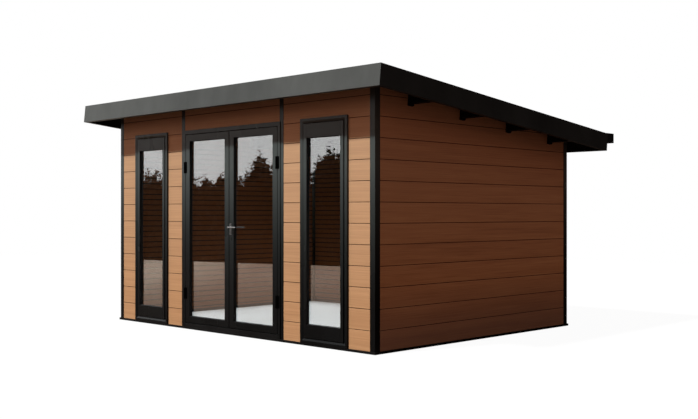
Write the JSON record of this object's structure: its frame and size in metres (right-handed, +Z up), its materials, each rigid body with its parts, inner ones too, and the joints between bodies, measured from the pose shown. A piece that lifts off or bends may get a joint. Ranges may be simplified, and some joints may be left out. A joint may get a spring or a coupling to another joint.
{
  "type": "garden shed",
  "caption": "Garden shed with horizontal composite boards, a glazed double door between tall fixed windows, a mono-pitch metal roof with deep fascia, and a gutter behind.",
  "frame": {"origin": "on the ground at the centre of the walls' outline, on the underside of the floor panel", "axes": "+X to the right seen from the front, +Y from front to back, +Z up"},
  "size_m": [4.472, 3.6842, 2.3731],
  "materials": {
    "board": "brushed composite board",
    "post_aluminium": "anthracite powder coat",
    "frame_aluminium": "anthracite powder coat",
    "black_metal": "black powder coat",
    "fascia": "satin coated sheet",
    "roof_sheet": "coated ribbed sheet",
    "purlin_steel": "dark coated tube",
    "gutter": "dark coated sheet",
    "floor": "pale matt panel",
    "glass": "clear toughened glass",
    "steel": "satin stainless steel"
  },
  "bodies": {
    "root": {"base_rail_front": "black_metal", "base_rail_back": "black_metal", "base_rail_left": "black_metal", "base_rail_right": "black_metal", "floor_panel": "floor", "corner_post_front_left": "post_aluminium", "corner_post_front_right": "post_aluminium", "corner_post_back_left": "post_aluminium", "corner_post_back_right": "post_aluminium", "door_post_left": "post_aluminium", "door_post_right": "post_aluminium", "front_left_piers": "board", "front_right_piers": "board", "front_left_head_panel": "board", "front_right_head_panel": "board", "door_head_panel": "board", "left_wall": "board", "right_wall": "board", "back_wall": "board", "window_frame_left": "frame_aluminium", "window_frame_right": "frame_aluminium", "window_sash_left": "frame_aluminium", "window_sash_right": "frame_aluminium", "window_glass_left": "glass", "window_glass_right": "glass", "door_frame": "frame_aluminium", "door_sill": "black_metal", "hinges_on_frame": "black_metal", "purlins": "purlin_steel", "purlin_shoes": "purlin_steel", "roof_sheet": "roof_sheet", "fascia_front": "fascia", "fascia_left": "fascia", "fascia_right": "fascia", "fascia_back": "fascia", "gutter": "gutter", "gutter_outlet": "gutter"},
    "left_door": {"door_leaf_left": "frame_aluminium", "door_glass_left": "glass", "hinges_on_left_leaf": "black_metal"},
    "right_door": {"door_leaf_right": "frame_aluminium", "door_glass_right": "glass", "hinges_on_right_leaf": "black_metal", "handle_plates": "steel"},
    "lever": {"lever_handle": "steel"}
  },
  "joints": [
    {"name": "left_door_hinge", "type": "hinge", "parent": "root", "child": "left_door", "pos_m": [-0.709, -1.494, 0.9], "axis": [0, 0, -1], "range_deg": [0, 110]},
    {"name": "right_door_hinge", "type": "hinge", "parent": "root", "child": "right_door", "pos_m": [0.709, -1.494, 0.9], "axis": [0, 0, 1], "range_deg": [0, 110]},
    {"name": "lever_turn", "type": "hinge", "parent": "right_door", "child": "lever", "pos_m": [0.0285, -1.466, 1.043], "axis": [0, 1, 0], "range_deg": [0, 40], "stiffness_Nm_per_rad": 1.2, "springref_deg": -20.05}
  ]
}
